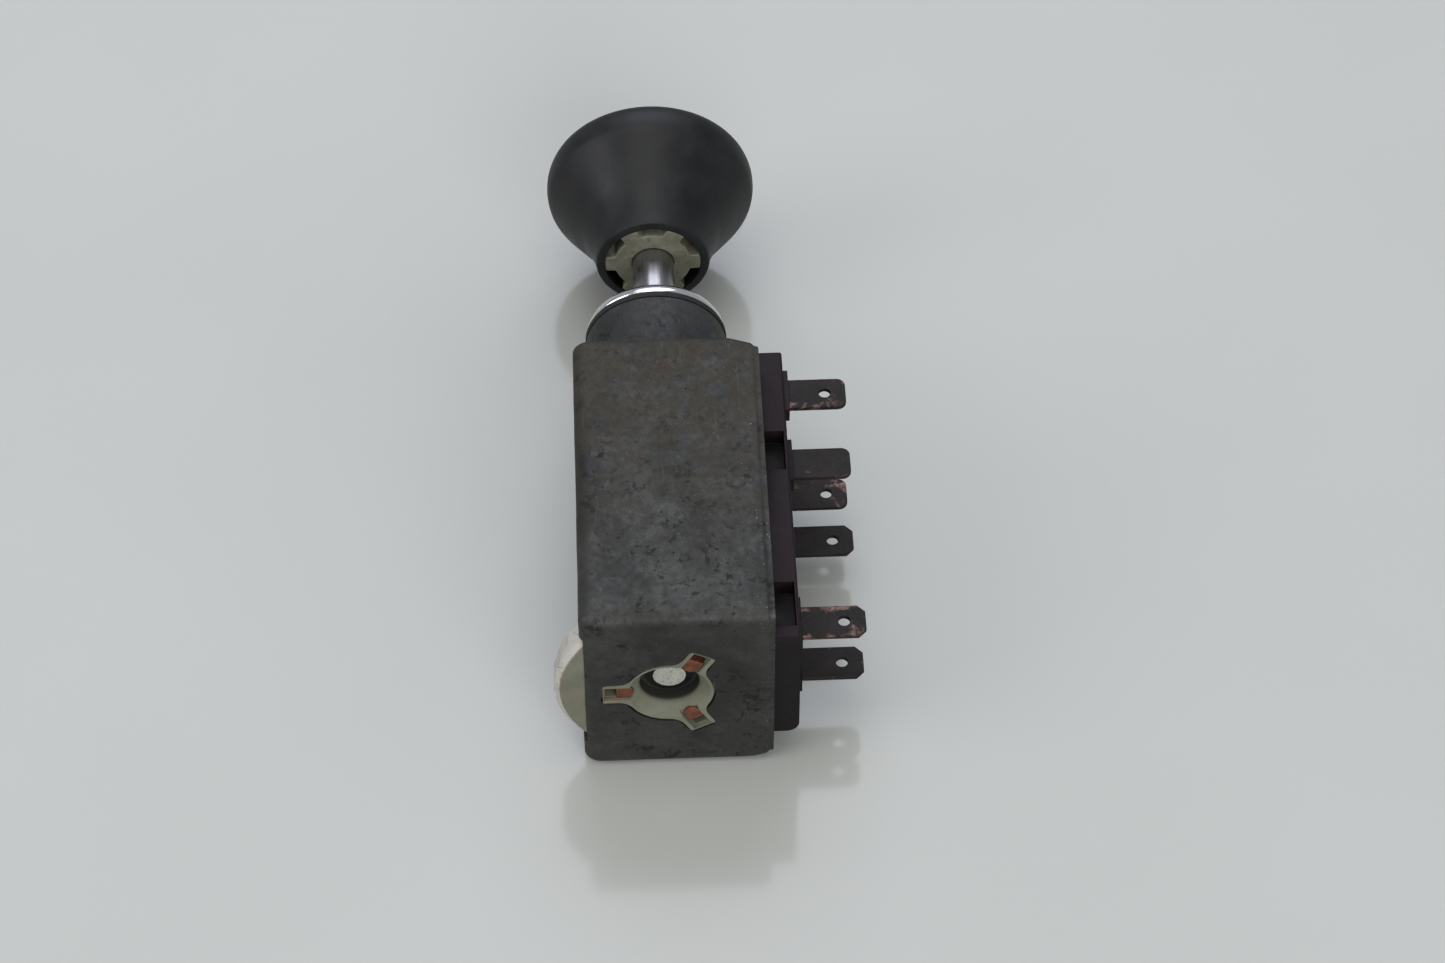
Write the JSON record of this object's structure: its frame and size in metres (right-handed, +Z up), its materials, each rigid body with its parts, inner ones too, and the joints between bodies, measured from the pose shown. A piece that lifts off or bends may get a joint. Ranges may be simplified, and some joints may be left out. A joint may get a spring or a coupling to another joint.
{
  "type": "pull switch",
  "caption": "Panel pull switch with a rotary dimmer: sheet-steel can, round neck and bezel nut, mushroom knob on a push-pull spindle, blade terminals on a moulded base.",
  "frame": {"origin": "on the spindle axis at the panel seat, the front end of the neck", "axes": "+Y out of the panel towards the knob, +X towards the blade terminals, +Z up with the can on its flat bottom"},
  "size_m": [0.0514, 0.122, 0.039],
  "materials": {
    "zinc_plated_steel": "weathered zinc plating, matt, stained",
    "zinc_neck": "smooth zinc plating, satin",
    "turned_brass": "turned",
    "black_fibre": "pressed fibre, matt",
    "chrome_nut": "bright plated",
    "bakelite": "dark maroon moulding, semi-gloss",
    "tarnished_copper": "tarnished, with bare patches",
    "ceramic_body": "unglazed steatite, matt",
    "resistance_wire": "wound nickel-chrome wire",
    "copper_lug": "dull copper",
    "spring_brass": "rolled strip",
    "white_steatite": "unglazed, matt",
    "spring_steel": "oiled spring steel",
    "carriage_moulding": "dark brown moulding",
    "contact_copper": "wiped clean",
    "detent_steel": "hardened strip",
    "polished_steel": "polished",
    "black_knob": "black moulding, satin",
    "knob_core": "olive-grey moulding, matt"
  },
  "bodies": {
    "housing": {"housing_can": "zinc_plated_steel", "neck_sleeve": "zinc_neck", "guide_bushing": "turned_brass", "panel_washer": "black_fibre", "bezel_nut": "chrome_nut", "terminal_base": "bakelite", "terminal_1": "tarnished_copper", "terminal_2": "tarnished_copper", "terminal_3": "tarnished_copper", "terminal_4": "tarnished_copper", "terminal_5": "tarnished_copper", "terminal_6": "tarnished_copper", "rheostat_ceramic": "ceramic_body", "resistance_coil": "resistance_wire", "rheostat_lugs": "copper_lug", "dimmer_strap_feed": "spring_brass", "dimmer_strap_out": "spring_brass", "detent_strip": "detent_steel"},
    "carriage": {"contact_carriage": "carriage_moulding", "detent_spring": "spring_steel", "bridge_front_spring": "spring_steel", "bridge_rear_spring": "spring_steel"},
    "bridge_front": {"bridge_front": "contact_copper"},
    "bridge_rear": {"bridge_rear": "contact_copper"},
    "detent_ball": {"detent_ball": "spring_steel"},
    "spindle": {"spindle": "polished_steel", "thrust_washer": "spring_steel", "spindle_circlip": "spring_steel", "knob": "black_knob", "knob_insert": "knob_core"},
    "wiper": {"wiper_hub": "white_steatite", "hub_clip": "spring_steel", "wiper_arm": "spring_brass"}
  },
  "joints": [
    {"name": "pull", "type": "slide", "parent": "housing", "child": "carriage", "axis": [0, 1, 0], "range_m": [-0.013, 0]},
    {"name": "knob_turn", "type": "hinge", "parent": "carriage", "child": "spindle", "pos_m": [0, 0, 0], "axis": [0, 1, 0], "range_deg": [-115, 115]},
    {"name": "wiper_turn", "type": "hinge", "parent": "housing", "child": "wiper", "pos_m": [0, -0.06155, 0], "axis": [0, 1, 0], "range_deg": [-115, 115]},
    {"name": "detent_click", "type": "slide", "parent": "carriage", "child": "detent_ball", "axis": [-1, 0, 0], "range_m": [0, 0.0007], "stiffness_N_per_m": 1500, "springref_m": 0.0007, "deforming": ["detent_spring"]},
    {"name": "bridge_front_float", "type": "slide", "parent": "carriage", "child": "bridge_front", "axis": [-1, 0, 0], "range_m": [0, 0.0004], "stiffness_N_per_m": 900, "deforming": ["bridge_front_spring"]},
    {"name": "bridge_rear_float", "type": "slide", "parent": "carriage", "child": "bridge_rear", "axis": [-1, 0, 0], "range_m": [0, 0.0004], "stiffness_N_per_m": 900, "deforming": ["bridge_rear_spring"]}
  ],
  "couplings": [
    {"joint": "wiper_turn", "follows": "knob_turn", "ratio": 1}
  ]
}
